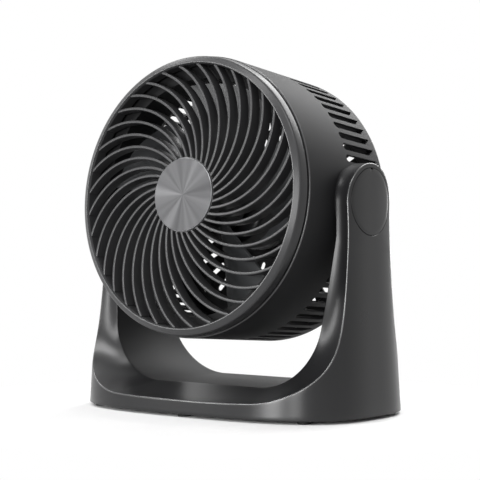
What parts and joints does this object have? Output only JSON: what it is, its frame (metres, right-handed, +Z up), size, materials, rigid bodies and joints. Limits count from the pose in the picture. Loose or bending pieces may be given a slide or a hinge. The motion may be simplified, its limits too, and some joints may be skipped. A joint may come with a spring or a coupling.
{
  "type": "personal_fan",
  "caption": "Small desk fan: a round drum head with spiral slats tilts between the arms of a U-shaped stand; bladed rotor turns inside, rotary speed knob on the back",
  "frame": {"origin": "on the floor under the middle of the stand's footprint", "axes": "+X to the right as seen from the front, +Y to the back (the air leaves towards -Y), +Z up"},
  "size_m": [0.2826, 0.1746, 0.3018],
  "materials": {
    "stand_plastic": "satin",
    "head_plastic": "satin",
    "grille_plastic": "satin",
    "cap_metal": "radially brushed",
    "rubber": "matte",
    "steel": "zinc plated",
    "nylon": "matte",
    "impeller_plastic": "gloss",
    "laminations": "stamped sheet",
    "motor_shell": "satin",
    "bronze": "sintered",
    "copper": "enamelled wire",
    "switch_plastic": "matte",
    "knob_plastic": "satin"
  },
  "bodies": {
    "stand": {"base_shell": "stand_plastic", "base_cover": "stand_plastic", "foot_front_left": "rubber", "foot_front_middle": "rubber", "foot_front_right": "rubber", "foot_rear_left": "rubber", "foot_rear_middle": "rubber", "foot_rear_right": "rubber", "cover_screws": "steel", "arm_cap_left": "stand_plastic", "arm_cap_right": "stand_plastic", "friction_washer_left": "nylon", "friction_washer_right": "nylon"},
    "head": {"drum_housing": "head_plastic", "front_grille": "grille_plastic", "hub_cap": "cap_metal", "air_duct": "head_plastic", "rear_cover": "head_plastic", "rear_cover_screws": "steel", "motor_screws": "steel", "pivot_pin_left": "nylon", "pivot_pin_right": "nylon", "pivot_screws": "steel", "stator_core": "laminations", "motor_front_bell": "motor_shell", "motor_rear_bell": "motor_shell", "motor_front_bearing": "bronze", "motor_rear_bearing": "bronze", "winding_front": "copper", "winding_rear": "copper", "rotary_switch": "switch_plastic", "cord_gland": "rubber"},
    "rotor": {"impeller": "impeller_plastic", "impeller_nut": "impeller_plastic", "motor_shaft": "steel", "rotor_core": "laminations"},
    "knob": {"speed_knob": "knob_plastic", "switch_shaft": "switch_plastic"}
  },
  "joints": [
    {"name": "head_tilt", "type": "hinge", "parent": "stand", "child": "head", "pos_m": [0, 0, 0.1777], "axis": [-1, 0, 0], "range_deg": [-4.84, 85.16]},
    {"name": "fan_spin", "type": "hinge", "parent": "head", "child": "rotor", "pos_m": [0, 0, 0.1777], "axis": [0, -0.9964, 0.0844], "continuous": true},
    {"name": "knob_turn", "type": "hinge", "parent": "head", "child": "knob", "pos_m": [0, 0.06676, 0.17205], "axis": [0, 0.9964, -0.0844], "range_deg": [0, 120]}
  ]
}
